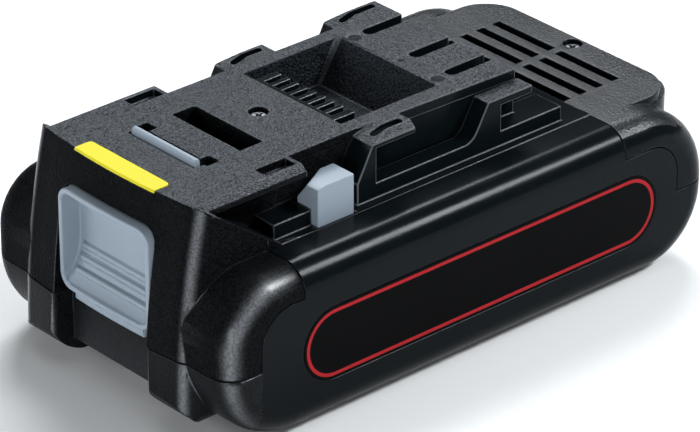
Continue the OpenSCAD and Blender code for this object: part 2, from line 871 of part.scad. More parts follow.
// A side tab: flat top, bevelled outer edge, from x0 to x1 on the left
module tab(x0, x1) {
    translate([x0, 0, 0])
        rotate([90, 0, 90])
            linear_extrude(height = x1 - x0)
                polygon([[platform_hw - cut, platform_z - tab_t],
                    [tab_edge_hw, platform_z - tab_t],
                    [tab_edge_hw, platform_z - tab_bevel],
                    [tab_hw, platform_z],
                    [platform_hw - cut, platform_z]]);
}

// The ramp in front of a middle or rear tab: upright foot, steep slope and easy slope into the tab
module ramp(x) {
    x1 = x + ramp_steep_l;
    x2 = x1 + ramp_easy_l;
    intersection() {
        across(platform_hw - cut, tab_edge_hw)
            polygon([[x, floor_z], [x, shoulder_z + ramp_foot_h],
                [x1, platform_z - ramp_easy_h], [x2, platform_z],
                [x2 + cut, platform_z], [x2 + cut, platform_z - tab_t],
                [x + ramp_web_l, platform_z - tab_t], [x + ramp_web_l, floor_z]]);
        tab_envelope();
    }
}

// Room under the outer bevels of the tabs
module tab_envelope() {
    translate([-far, 0, 0])
        rotate([90, 0, 90])
            linear_extrude(height = 2 * far)
                polygon([[0, 0], [tab_edge_hw, 0], [tab_edge_hw, platform_z - tab_bevel],
                    [tab_hw, platform_z], [0, platform_z]]);
}

// Middle tab with its ramp, on the left
module mid_tab() {
    x = x_front + ramp_x;
    ramp(x);
    tab(x + ramp_steep_l + ramp_easy_l, x + mid_tab_l);
}

// Straight rail beside the platform, on the left, with its inner side at y
module rail(x0, x1, y) {
    box([x0, y, floor_z], [x1, rail_out, rail_z]);
}

// Side view of the right rail: low run, curved rise and raised end over a solid web
module stepped_rail_view() {
    x0 = x_front + step_x;
    x1 = x_front + step_end;
    x_web = x_front + key_x + cut / 2;
    rise = step_z - rail_z - step_bend_r * (1 - cos(step_slope));
    x_top = x0 + step_bend_r * sin(step_slope) + rise / tan(step_slope);
    bend = [for (a = [0:10:step_slope])
        [x0 + step_bend_r * sin(a), rail_z + step_bend_r * (1 - cos(a))]];
    polygon(concat([[x0 - 2, floor_z], [x0 - 2, rail_z]], bend,
        [[x_top, step_z], [x1, step_z], [x1, step_z - step_t], [x_web, step_z - step_t],
        [x_web, floor_z]]));
}

// The slide platform with its tabs, ramps and rails
module platform_outside() {
    x0 = x_front + 7;
    x_taper = x_front + rail_mid_x;
    low = platform_z - tab_t;
    translate([0, 0, low])
        linear_extrude(height = tab_t)
            polygon([[x0, platform_hw], [platform_x1, platform_hw],
                [platform_x1, -platform_hw - platform_flare], [x_taper, -platform_hw],
                [x0, -platform_hw]]);
    translate([0, 0, floor_z])
        linear_extrude(height = low - floor_z)
            polygon([[x0, platform_hw - wall_step], [platform_x1, platform_hw - wall_step],
                [platform_x1, wall_step - platform_hw - platform_flare],
                [x_taper, wall_step - platform_hw], [x0, wall_step - platform_hw]]);
    intersection() {
        nose_lean(0);
        both()
            tab(x_front - cut, x_front + 12);
    }
    both() {
        tab(x_front + 11, x_front + front_tab_end);
        mid_tab();
        rail(x_front + rail_x, x_front + hook_x - hook_gap, platform_hw - wall_step - cut);
        rail(x_front + rail_mid_x, x_front + rail_rear_x, rail_in);
        box([x_front + key_x, key_in, floor_z], [x_front + key_end, rail_out, rail_z]);
    }
    ramp(x_front + rear_ramp_x);
    tab(x_front + rear_ramp_x + ramp_steep_l + ramp_easy_l, platform_x1);
    across(-rail_out, -rail_in)
        stepped_rail_view();
}

// The hollow under the platform
module platform_inside() {
    box([x_front + 8.5, wall + wall_step - platform_hw, floor_z - cut],
        [platform_x1 - wall, platform_hw - wall - wall_step, under_plate_z]);
}

// Side view of the terminal pit, with its sloping rear wall
module pit_view(grow) {
    x0 = x_front + pit_x - grow;
    x1 = x_front + pit_x + pit_l + grow;
    polygon([[x0, platform_z + cut], [x0, pit_z - grow], [x1 - pit_slope, pit_z - grow],
        [x1, platform_z], [x1, platform_z + cut]]);
}

// Walls that line the pit, the pocket and the key slots inside the platform
module platform_liners() {
    t = 1.6;
    y_in = platform_hw - wall_step - 1;
    intersection() {
        union() {
            across(-pit_hw - t, pit_hw + t)
                pit_view(t);
            box([x_front + pocket_x - t, -pocket_hw - t, platform_z - pocket_depth - t],
                [x_front + pocket_x + pocket_l + t, pocket_hw + t, platform_z]);
            box([platform_x1 - key_slot_l - t, -y_in, platform_z - key_slot_depth - t],
                [platform_x1, y_in, platform_z]);
        }
        box([-far, -y_in, floor_z], [far, y_in, platform_z - 0.5]);
    }
}

// A slot open to the rear edge of the platform, with a round front end
module key_slot(y) {
    x0 = platform_x1 - key_slot_l;
    z0 = platform_z - key_slot_depth;
    box([x0 + key_slot_w / 2, y - key_slot_w / 2, z0],
        [platform_x1 + cut, y + key_slot_w / 2, platform_z + cut]);
    translate([x0 + key_slot_w / 2, y, z0])
        cylinder(d = key_slot_w, h = key_slot_depth + cut);
}

// A round-ended slot through a tab, on the left
module tab_slot(x0, x1) {
    r = (tab_slot_out - tab_slot_in) / 2;
    z0 = platform_z - tab_t - cut;
    box([x0 + r, tab_slot_in, z0], [x1 - r, tab_slot_out, platform_z + cut]);
    for (x = [x0 + r, x1 - r])
        translate([x, tab_slot_in + r, z0])
            cylinder(r = r, h = tab_t + 2 * cut);
}

// All openings of the platform
module platform_openings() {
    across(-pit_hw, pit_hw)
        pit_view(0);
    box([comb_x - 0.3, -pit_hw, floor_z - cut],
        [comb_x + comb_l + 0.4, pit_hw, platform_z + cut]);
    box([x_front + pocket_x, -pocket_hw, platform_z - pocket_depth],
        [x_front + pocket_x + pocket_l, pocket_hw, platform_z + cut]);
    box([x_front + slot_x, -slot_hw, under_plate_z - cut],
        [x_front + slot_x + slot_l, slot_hw, platform_z + cut]);
    both()
        box([x_front + slot_x + slot_l - cut, ear_in, under_plate_z - cut],
            [x_front + slot_x + ear_l, ear_hw, platform_z + cut]);
    for (y = [key_slot_y + 0.2, -key_slot_mid, -key_slot_y])
        key_slot(y);
    both()
        translate([x_front + mark_x, 13, platform_z - mark_depth])
            cylinder(d = mark_d, h = cut);
    translate([x_front + mark_x, -1.5, platform_z - mark_depth])
        cylinder(d = mark_small_d, h = cut);
    both()
        box([x_front + front_tab_end - 0.9 - recess_l, recess_in, platform_z - tab_t + 0.6],
            [x_front + front_tab_end - 0.9, recess_out, platform_z + cut]);
    both()
        tab_slot(x_front + ramp_x + tab_slot_x, x_front + ramp_x + mid_tab_l - tab_slot_end);
    tab_slot(x_front + rear_ramp_x + tab_slot_x, platform_x1 - tab_slot_end);
}

// The rows of vents on both sides of the middle rib
module vents() {
    for (row = [0:vent_rows - 1])
        both()
            box([x_rear - vent_x - row * vent_pitch - vent_w / 2, vent_in, floor_z - cut],
                [x_rear - vent_x - row * vent_pitch + vent_w / 2, vent_out, shoulder_z + cut]);
}

// Room for the coloured strip in the bowed front edge, with round rear corners
module strip_box(grow) {
    r = strip_r + grow;
    w = strip_hw + grow;
    x1 = x_front + strip_end + grow;
    translate([0, 0, platform_z - strip_t - grow])
        linear_extrude(height = strip_t + 2 * grow) {
            translate([x_front - cut, -w])
                square([x1 - r - x_front + cut, 2 * w]);
            translate([x_front - cut, r - w])
                square([x1 - x_front + cut, 2 * (w - r)]);
            for (side = [-1, 1])
                translate([x1 - r, side * (w - r)])
                    circle(r);
        }
}

// Boss under a screw hole, from its seat up into the plate above it
module screw_boss(x, head_z, plate_z) {
    translate([x, 0, head_z - seat_t])
        cylinder(d = post_d, h = plate_z - head_z + seat_t + cut / 2);
}

// Bore for a screw: room for its head above, room for its shank below
module screw_way(x, head_z) {
    translate([x, 0, head_z])
        cylinder(d = screw_hole_d, h = far);
    translate([x, 0, head_z - seat_t - cut])
        cylinder(d = screw_d + 2 * screw_gap, h = seat_t + 2 * cut);
}

module upper_case() {
    color("darkslategray")
        difference() {
            union() {
                difference() {
                    union() {
                        body_outside();
                        platform_outside();
                    }
                    body_inside();
                    platform_inside();
                    lower_zone(seam_gap);
                }
                platform_liners();
                screw_boss(front_screw, front_head_z, under_plate_z);
                screw_boss(rear_screw, rear_head_z, floor_z);
            }
            platform_openings();
            vents();
            hook_windows();
            button_way();
            strip_box(strip_gap);
            screw_way(front_screw, front_head_z);
            screw_way(rear_screw, rear_head_z);
            translate([rear_screw, 0, 0])
                cylinder(d = post_d + 2 * post_gap, h = rear_head_z - seat_t);
        }
}

module release_button() {
    color("gray")
        difference() {
            union() {
                intersection() {
                    button_front(0);
                    translate([x_front - cut, 0, 0])
                        rotate([90, 0, 90])
                            linear_extrude(height = flange_x - x_front + cut)
                                button_outline(0);
                }
                box([flange_x - cut / 2, button_lip - button_hw, window_z + latch_travel + button_gap],
                    [button_back_x, button_hw - button_lip, button_z1 - button_lip]);
                box([button_back_x - cut / 2, -neck_hw, yoke_z - neck_drop],
                    [yoke_x, neck_hw, yoke_z + yoke_t]);
                intersection() {
                    button_front(skirt_step);
                    box([x_front, -skirt_hw, button_z0 - skirt_h], [flange_x, skirt_hw, button_z0 + 2]);
                }
            }
            finger_scoop();
        }
}

// Upright bowed face of the button, set back by a step
module button_front(step) {
    r = (nose_hw * nose_hw + nose_bow * nose_bow) / (2 * nose_bow);
    translate([x_front + button_set + step + r, 0, 0])
        cylinder(r = r, h = platform_z, $fn = 720);
}

// Front view of the button, set in by a rim
module button_outline(in) {
    w = button_hw - in;
    z0 = button_z0 + in;
    z1 = button_z1 - in;
    r = button_r - in;
    translate([r - w, z0])
        square([2 * (w - r), z1 - z0]);
    translate([-w, z0 + r])
        square([2 * w, z1 - z0 - 2 * r]);
    for (y = [r - w, w - r])
        for (z = [z0 + r, z1 - r])
            translate([y, z])
                circle(r);
}

// The finger scoop: upright back, curved lower side and three grip ribs
module finger_scoop() {
    z1 = button_z1 - button_rim;
    z0 = button_z0 + button_rim;
    run = scoop_depth - button_set - 0.8;
    r = (run * run + scoop_rise * scoop_rise) / (2 * run);
    w = button_hw - button_rim;
    difference() {
        intersection() {
            across(-w - cut, w + cut) {
                translate([x_front - 3, z0 + scoop_rise])
                    square([scoop_depth + 3, z1 - z0 - scoop_rise + cut]);
                intersection() {
                    translate([scoop_x - r, z0 + scoop_rise])
                        circle(r);
                    translate([scoop_x - r, z0 - cut])
                        square([r, scoop_rise + 2 * cut]);
                }
            }
            translate([x_front - 3, 0, 0])
                rotate([90, 0, 90])
                    linear_extrude(height = scoop_depth + 6)
                        button_outline(button_rim);
        }
        for (i = [1:3])
            let (drop = scoop_rise * (1 - i / 4))
                translate([scoop_x - r + sqrt(r * r - drop * drop), 0, z0 + scoop_rise - drop])
                    rotate([90, 0, 0])
                        cylinder(r = rib_r, h = 2 * w - 3, center = true);
    }
}

module latch_yoke() {
    color("lightslategray") {
        z1 = yoke_z + yoke_t;
        bar_z1 = platform_z + bar_h;
        box([yoke_x, -yoke_hw, yoke_z], [x_front + yoke_end, yoke_hw, z1]);
        box([bar_x, -bar_hw, yoke_z], [bar_x + bar_t, bar_hw, bar_z1 - bar_t / 2]);
        translate([bar_x + bar_t / 2, 0, bar_z1 - bar_t / 2])
            rotate([90, 0, 0])
                cylinder(d = bar_t, h = 2 * bar_hw, center = true);
        both() {
            box([x_front + yoke_arm_x, hook_in, yoke_z],
                [x_front + hook_x + hook_l, hook_in + yoke_arm_w, z1]);
            side_hook();
        }
    }
}

// One side hook: top falling a little to the front, inner front corner cut off slanting
module side_hook() {
    x0 = x_front + hook_x;
    difference() {
        across(hook_in, hook_out)
            polygon([[x0, yoke_z], [x0, hook_z - hook_fall], [x0 + hook_fall_l, hook_z],
                [x0 + hook_l, hook_z], [x0 + hook_l, yoke_z]]);
        translate([x0, hook_out - hook_flat, hook_z - hook_fall])
            rotate([0, -hook_tilt, -hook_turn])
                translate([0, -far / 2, -far / 2])
                    cube(far);
    }
}

// One wound spring as a tube of six-sided rings
spring_rings = 8;
spring_sides = 6;
spring_rise = spring_z1 - spring_seat_z - spring_wire;
spring_lead = spring_rise / spring_turns;
echo(spring_self_gap = spring_lead - spring_wire);

function spring_point(i, k) =
    let (turn = 360 * i / spring_rings,
        side = 360 * k / spring_sides,
        r = spring_r + spring_wire / 2 * cos(side))
    [r * cos(turn), r * sin(turn),
        spring_seat_z + spring_wire / 2 + spring_lead * i / spring_rings
            + spring_wire / 2 * sin(side)];

module spring() {
    rings = spring_turns * spring_rings;
    points = [for (i = [0:rings]) for (k = [0:spring_sides - 1]) spring_point(i, k)];
    skin = [for (i = [0:rings - 1]) for (k = [0:spring_sides - 1])
        let (n = (k + 1) % spring_sides, a = i * spring_sides, b = a + spring_sides)
        for (face = [[a + k, b + k, b + n], [a + k, b + n, a + n]]) face];
    first = [[for (k = [0:spring_sides - 1]) k]];
    last = [[for (k = [0:spring_sides - 1]) rings * spring_sides + spring_sides - 1 - k]];
    polyhedron(points, concat(skin, first, last));
}

module latch_springs() {
    color("silver")
        for (side = [-1, 1])
            translate([x_front + spring_x, side * spring_y, 0])
                spring();
}

module indicator_strip() {
    color("gold")
        intersection() {
            nose_lean(0);
            strip_box(0);
        }
}

// A label with full round ends, between two depths across the pack
module label_shape(y0, y1, grow) {
    r = label_h / 2 + grow;
    half = label_l / 2 - label_h / 2;
    across(y0, y1) {
        translate([label_mid - half, label_z - r])
            square([2 * half, 2 * r]);
        for (x = [label_mid - half, label_mid + half])
            translate([x, label_z])
                circle(r);
    }
}

module label_right() {
    color("black")
        mirror([0, 1, 0])
            label_shape(label_y, label_y + label_t, 0);
}

module label_left() {
    color("black")
        label_shape(label_y, label_y + label_t, 0);
}

// Offset of a slot of the comb from the middle
function comb_y(i) = (i - (comb_slots - 1) / 2) * comb_pitch;

module terminal_block() {
    color("dimgray")
        difference() {
            box([comb_x, -comb_hw, board_z1], [comb_x + comb_l, comb_hw, comb_z1]);
            for (i = [0:comb_slots - 1])
                box([comb_x + comb_wall, comb_y(i) - comb_slot_w / 2, board_z1 + comb_floor],
                    [comb_x + comb_l + cut, comb_y(i) + comb_slot_w / 2, comb_z1 + cut]);
        }
}

module terminal_contacts() {
    color("goldenrod")
        for (i = [0:comb_slots - 1])
            box([blade_x, comb_y(i) - blade_t / 2, board_z1 + comb_floor],
                [comb_x + comb_l - blade_gap, comb_y(i) + blade_t / 2, comb_z1 - blade_drop]);
}

module circuit_board() {
    color("darkgreen")
        box([x_front + board_x, -board_hw, board_z],
            [x_front + board_x + board_l, board_hw, board_z1]);
}

module board_chips() {
    color("black") {
        x = x_front + board_x + chip_x;
        for (i = [0:2])
            box([x + i * chip_pitch, -chip_y - chip_w, board_z - chip_t],
                [x + i * chip_pitch + chip_l, -chip_y, board_z]);
        box([x, chip_y, board_z - chip_t], [x + driver_l, chip_y + driver_w, board_z]);
    }
}

module board_carrier() {
    color("ivory")
        difference() {
            union() {
                box([x_front + carrier_front, -carrier_hw, holder_z1],
                    [x_front + carrier_rear, carrier_hw, carrier_z1]);
                for (x = [carrier_front + arm_set, carrier_rear - arm_set - arm_l])
                    box([x_front + x, -arm_hw, holder_z1], [x_front + x + arm_l, arm_hw, carrier_z1]);
                for (x = [board_x, board_x + board_l - leg_l])
                    both()
                        box([x_front + x, board_hw - leg_l, holder_z1],
                            [x_front + x + leg_l, board_hw - 1, board_z]);
                translate([front_screw, 0, holder_z1])
                    cylinder(d = post_d, h = front_head_z - seat_t - holder_z1);
            }
            translate([front_screw, 0, front_head_z - screw_l - bore_rest])
                cylinder(d = screw_d + 2 * screw_gap, h = far);
            translate([sense_x, 0, holder_z1 - cut])
                cylinder(d = 2 * bead_d, h = carrier_t + 2 * cut);
        }
}

// One cell lying across the pack, its positive cap to the right when even
module cell(i) {
    x = cell_mid_x + (i - (cell_count - 1) / 2) * cell_pitch;
    turn = i % 2 == 0 ? 0 : 180;
    color("steelblue")
        translate([x, 0, cell_z])
            rotate([90, 0, turn]) {
                translate([0, 0, -cell_end])
                    cylinder(d = cell_d, h = cell_l - cap_h);
                translate([0, 0, cell_end - cap_h - cut])
                    cylinder(d = cap_d, h = cap_h + cut);
            }
}

module cell_1() {
    cell(0);
}

module cell_2() {
    cell(1);
}

module cell_3() {
    cell(2);
}

module cell_4() {
    cell(3);
}

module cell_5() {
    cell(4);
}

// One holder: a block with a bore for each cell, on the left
module cell_holder() {
    half = (cell_count - 1) * cell_pitch / 2 + cell_d / 2 + 1.2;
    difference() {
        box([cell_mid_x - half, holder_out - holder_depth, holder_z0],
            [cell_mid_x + half, holder_out, holder_z1]);
        for (i = [0:cell_count - 1])
            translate([cell_mid_x + (i - (cell_count - 1) / 2) * cell_pitch, 0, cell_z])
                rotate([-90, 0, 0])
                    cylinder(d = cell_d + 2 * cell_gap, h = far);
    }
}

module cell_holder_left() {
    color("dimgray")
        cell_holder();
}

module cell_holder_right() {
    color("dimgray")
        mirror([0, 1, 0])
            cell_holder();
}

// One nickel link over the ends of neighbouring cells, on the left
module link(first, last) {
    x0 = cell_mid_x + (first - (cell_count - 1) / 2) * cell_pitch;
    x1 = cell_mid_x + (last - (cell_count - 1) / 2) * cell_pitch;
    box([x0 - link_h / 2, link_y, cell_z - link_h / 2],
        [x1 + link_h / 2, link_y + link_t, cell_z + link_h / 2]);
}

module cell_links_left() {
    color("silver") {
        link(0, 1);
        link(2, 3);
    }
}

module cell_links_right() {
    color("silver")
        mirror([0, 1, 0]) {
            link(1, 2);
            link(3, 4);
        }
}

// An end tab on the left that leads the pack voltage over the holder and up to the board
module end_tab(i, board_end) {
    x = cell_mid_x + (i - (cell_count - 1) / 2) * cell_pitch;
    z = holder_z1 + 3;
    y = board_hw - 7.5;
    w = 3;
    link(i, i);
    box([x - w, link_y, cell_z], [x + w, link_y + link_t, z + link_t]);
    box([x - w, y, z], [x + w, link_y + link_t, z + link_t]);
    box([min(x, board_end) - w, y, z], [max(x, board_end) + w, y + w, z + link_t]);
    box([board_end - w, y, z], [board_end + w, y + link_t, board_z]);
}

module plus_tab() {
    color("silver")
        mirror([0, 1, 0])
            end_tab(0, x_front + board_x + 10);
}

module minus_tab() {
    color("silver")
        end_tab(4, x_front + board_x + board_l - 10);
}

// Insulating sheet over the links, on the left
module insulator() {
    half = (cell_count - 1) * cell_pitch / 2 + link_h / 2 + 2;
    box([cell_mid_x - half, sheet_y, cell_z - link_h / 2 - 3],
        [cell_mid_x + half, sheet_y + sheet_t, cell_z + link_h / 2 + 3]);
}

module insulator_left() {
    color("whitesmoke")
        insulator();
}

module insulator_right() {
    color("whitesmoke")
        mirror([0, 1, 0])
            insulator();
}

// One case screw with a round driver recess, its head top at the given height
module case_screw(x, top) {
    translate([x, 0, top - screw_head_h])
        difference() {
            union() {
                cylinder(d = screw_head_d, h = screw_head_h);
                translate([0, 0, -screw_l])
                    cylinder(d = screw_d, h = screw_l + cut);
            }
            translate([0, 0, screw_head_h - 1])
                cylinder(d = drive_d, h = cut + 1);
        }
}

module case_screws() {
    color("silver") {
        case_screw(front_screw, platform_z - screw_drop);
        case_screw(rear_screw, shoulder_z - screw_drop);
    }
}

module thermistor() {
    color("black")
        translate([sense_x, 0, 0]) {
            translate([0, 0, sense_z])
                sphere(d = bead_d);
            for (x = [-0.6, 0.6])
                translate([x, 0, sense_z])
                    cylinder(d = lead_d, h = board_z - sense_z);
        }
}

lower_case();
upper_case();
release_button();
latch_yoke();
latch_springs();
indicator_strip();
label_right();
label_left();
terminal_block();
terminal_contacts();
circuit_board();
board_chips();
board_carrier();
cell_1();
cell_2();
cell_3();
cell_4();
cell_5();
cell_holder_right();
cell_holder_left();
cell_links_right();
cell_links_left();
insulator_right();
insulator_left();
plus_tab();
minus_tab();
case_screws();
thermistor();
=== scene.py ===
import math

import bmesh
import bpy
from mathutils import Matrix, Vector
from mathutils.bvhtree import BVHTree


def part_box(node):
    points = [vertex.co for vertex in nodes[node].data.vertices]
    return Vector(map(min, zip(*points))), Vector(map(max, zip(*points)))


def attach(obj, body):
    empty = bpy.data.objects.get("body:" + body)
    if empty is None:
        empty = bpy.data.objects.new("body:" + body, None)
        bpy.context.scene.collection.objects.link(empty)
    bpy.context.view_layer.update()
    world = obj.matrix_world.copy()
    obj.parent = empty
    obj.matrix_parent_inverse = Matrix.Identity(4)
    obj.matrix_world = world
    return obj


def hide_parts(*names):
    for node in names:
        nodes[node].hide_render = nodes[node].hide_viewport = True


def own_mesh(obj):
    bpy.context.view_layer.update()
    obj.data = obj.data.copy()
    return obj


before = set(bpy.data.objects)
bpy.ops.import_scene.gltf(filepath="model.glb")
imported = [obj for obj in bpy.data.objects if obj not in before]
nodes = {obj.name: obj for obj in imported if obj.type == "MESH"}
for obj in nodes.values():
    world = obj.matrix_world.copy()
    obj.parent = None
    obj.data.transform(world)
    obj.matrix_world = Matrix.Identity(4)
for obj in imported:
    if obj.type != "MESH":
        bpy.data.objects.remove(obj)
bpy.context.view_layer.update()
MM = 0.001

# Places of the pack in millimetres, as in the part's source
SHOULDER_Z = 37.4
PLATFORM_Z = 51.2
PLATFORM_SIDE_Y = 19.2
TAB_LOW_Z = 46.9
PLATE_X = 43.2
RECESS_X = -44.0
RAIL_END_X = -40.0
CHEEK_SEAM_X = -57.7
BOW_END_Y = 23.3
NOSE_SIDE_Y = 27.3
PIT_X = -16.5
PIT_END_X = 10.9
PIT_HALF_Y = 15.7
PIT_CORNER_Y = 15.4
PIT_CORNER_RISE = 5.0
MARKS_X = (10.6, 14.6)
MARK_FLOOR_Z = (50.4, 51.1)
SAME_PLACE = 0.1
FACING_UP = 0.6
FACING_REAR = 0.1

# Label and its red border, in millimetres
LABEL_MID_X = 3.1
LABEL_MID_Z = 18.0
LABEL_LENGTH = 99.4
LABEL_HEIGHT = 16.6
BORDER_INSET = 1.05
BORDER_HALF = 0.42
BORDER_SOFT = 0.1
BORDER_GAIN = 6.0
FILM_GRAIN = 0.6
FILM_DEPTH = 0.004
FILM_ROUGH = 0.33
FILM_ROUGH_SPREAD = 0.1
FILM_SPECULAR = 0.02
FILM_DARK = (0.0016, 0.0016, 0.0018)
FILM_LIGHT = (0.003, 0.003, 0.0033)
RED_DARK = (0.28, 0.014, 0.018)
RED_LIGHT = (0.36, 0.021, 0.026)

# Case screws, in millimetres; each step of the dome has a share of its height and a draw-in
FRONT_SCREW_X = -25.4
REAR_SCREW_X = 64.7
SCREW_DROP = 0.9
SCREW_SIDES = 48
SCREW_SHANK_D = 2.6
SCREW_HEAD_D = 3.8
SCREW_HEAD_H = 2.0
SCREW_LENGTH = 10.0
SCREW_DOME = 0.5
DOME_STEPS = ((0.7, 0.5), (0.3, 1.5))
CROSS_L = 2.3
CROSS_W = 0.62
CROSS_DEPTH = 1.0
CROSS_TAPER = 0.6
CUT_GAP = 1e-5
LEVEL_GAP = 1e-4

# Rounded edges, in millimetres and degrees
MERGE_GAP = 0.002
SHARP_ANGLE = 28.0
EDGE_SEGMENTS = 2
PIT_FILLET = 0.7
FILLET_SEGMENTS = 4
STRAY_LIMIT = 0.3
# Share of edge wear and painted edge highlight kept on the nose edges
NOSE_EDGE_WEAR_AND_HIGHLIGHT = 0.4
SMOOTH_ANGLE = 40.0
WIRE_SMOOTH_ANGLE = 30.0
FACE_WEIGHT = 80

# Mould grain: sizes in millimetres, then shares of its noise
GRAIN_SIZE = 0.52
SATIN_SIZE = 0.5
SATIN_SHARE = 0.05
GRAIN_DETAIL = 2.0
GRAIN_NOISE = 0.6
GRAIN_PITS = 0.6
GRAIN_MIDDLE = 0.8
SPECKLE_GAIN = 3.0
SPECKLE_SHIFT = -1.0
DRIFT_SCALE = 60.0
DRIFT_DETAIL = 3.0

# Case plastic: colours, roughness, and wear that carries painted highlights on edges and corners
GRAIN_DARK = (0.0015, 0.0017, 0.002)
SATIN_DARK = (0.0022, 0.0038, 0.0046)
SATIN_LIGHT = (0.0034, 0.0054, 0.0063)
PLAIN_PEAKS = (0.013, 0.014, 0.016)
GRAIN_ROUGH = 0.46
GRAIN_ROUGH_SPREAD = 0.2
SATIN_ROUGH = 0.21
SATIN_ROUGH_SPREAD = 0.1
# Lighter rounded edges: some wear, and a painted highlight standing in for edge glints
EDGE_LAYER = "edge_wear_and_highlight"
EDGE_WEAR_AND_HIGHLIGHT = (0.13, 0.138, 0.15)
EDGE_POLISH = 0.1
EDGE_PATCH_GAIN = 1.2
EDGE_PATCH_BASE = 0.1
# Nose corners: rubbed gloss, and a pale band painted in as a highlight
CORNER_LAYER = "corner_wear_and_highlight"
CORNER_WEAR_AND_HIGHLIGHT = (0.16, 0.17, 0.182)
SPARKLE_GAIN = 0.6
SPARKLE_BASE = 0.4
RUB_GLOSS_ROUGH = 0.33

# Rubbed, glossier nose corners with a highlight painted into their colour: angles in degrees from
# the nose front, and the bow over the cheek's shoulder along which that painted highlight runs
NOSE_HIGHLIGHT_TURN = 31.0
CHEEK_HIGHLIGHT_TURN = 48.0
HIGHLIGHT_SPREAD = 12.0
HIGHLIGHT_FADE = 1.4
HIGHLIGHT_ARC = Vector((0.626, -0.551, -0.551))

# Other plastics and metals
PLASTIC_ROUGH_SPREAD = 0.16
METAL_ROUGH_SPREAD = 0.2
DRAWN_LINE_SCALE = 2500.0
DRAWN_LINE_DETAIL = 2.0
DRAWN_LINE_STRENGTH = 0.4
DRAWN_LINE_DEPTH = 0.01
TARNISH_SCALE = 400.0

# Floor, lamps and camera, in metres, watts and millimetres of lens
FLOOR_GREY = (0.8, 0.8, 0.8, 1.0)
FLOOR_ROUGH = 0.9
FLOOR_HALF = 6.0
FLOOR_DROP = 0.0002
LAMP_COLOUR = (0.93, 0.97, 1.0)
PACK_MIDDLE = (0.0, 0.0, 0.03)
NOSE_FOOT = (-0.06, -0.02, 0.012)
SKY_STRENGTH = 0.08
SENSOR_WIDTH = 36.0
LENS = 238.04
NEAR_CLIP = 0.05
CAMERA_PLACE = (-0.5742, -0.6455, 0.4820)
CAMERA_BACK = (-0.5853, -0.6583, 0.4734)
CAMERA_RIGHT = (0.7473, -0.6645, 0.0)


# Shader helpers

def new_material(name):
    """A node material with its one Principled shader."""
    material = bpy.data.materials.new(name)
    material.use_nodes = True
    tree = material.node_tree
    shader = next(n for n in tree.nodes if n.type == "BSDF_PRINCIPLED")
    return material, tree, shader


def add(tree, kind, **values):
    """One shader node with its settings."""
    node = tree.nodes.new(kind)
    for key, value in values.items():
        setattr(node, key, value)
    return node


def join(tree, source, target):
    tree.links.new(source, target)


def math_node(tree, operation, first, second=None, third=None, clamp=False):
    """A Math node fed by sockets or plain numbers."""
    node = add(tree, "ShaderNodeMath", operation=operation, use_clamp=clamp)
    for slot, value in enumerate((first, second, third)):
        if value is None:
            continue
        if isinstance(value, (int, float)):
            node.inputs[slot].default_value = value
        else:
            join(tree, value, node.inputs[slot])
    return node.outputs[0]


def mix_colour(tree, factor, first, second):
    """A colour mix of two sockets or plain colours."""
    node = add(tree, "ShaderNodeMix", data_type="RGBA", clamp_factor=True)
    ends = ((node.inputs[0], factor), (node.inputs[6], first), (node.inputs[7], second))
    for socket, value in ends:
        if isinstance(value, (int, float)):
            socket.default_value = value
        elif isinstance(value, tuple):
            socket.default_value = (*value, 1.0)
        else:
            join(tree, value, socket)
    return node.outputs[2]


def object_point(tree):
    return add(tree, "ShaderNodeTexCoord").outputs["Object"]


def noise(tree, point, scale, detail=None, roughness=None):
    """A 3-D noise texture; its scale is a socket or a plain number."""
    node = add(tree, "ShaderNodeTexNoise", noise_dimensions="3D")
    for label, value in (("Detail", detail), ("Roughness", roughness)):
        if value is not None:
            node.inputs[label].default_value = value
    join(tree, point, node.inputs["Vector"])
    if isinstance(scale, float):
        node.inputs["Scale"].default_value = scale
    else:
        join(tree, scale, node.inputs["Scale"])
    return node.outputs["Fac"]


def new_group(name, inputs, outputs):
    """A shader node group with named inputs and outputs."""
    group = bpy.data.node_groups.new(name, "ShaderNodeTree")
    for label, kind, value in inputs:
        socket = group.interface.new_socket(label, in_out="INPUT", socket_type=kind)
        if value is not None:
            socket.default_value = value
    for label, kind in outputs:
        group.interface.new_socket(label, in_out="OUTPUT", socket_type=kind)
    entry = group.nodes.new("NodeGroupInput")
    leave = group.nodes.new("NodeGroupOutput")
    return group, entry, leave


def place_group(tree, group, **values):
    """A group placed in a material, its inputs fed by sockets or plain values."""
    node = add(tree, "ShaderNodeGroup", node_tree=group)
    for label, value in values.items():
        socket = node.inputs[label.replace("_", " ")]
        if isinstance(value, (int, float, tuple)):
            socket.default_value = value
        else:
            join(tree, value, socket)
    return node


def bump(tree, height, strength, distance):
    node = add(tree, "ShaderNodeBump")
    node.inputs["Strength"].default_value = strength
    node.inputs["Distance"].default_value = distance
    join(tree, height, node.inputs["Height"])
    return node.outputs["Normal"]


# Finishes

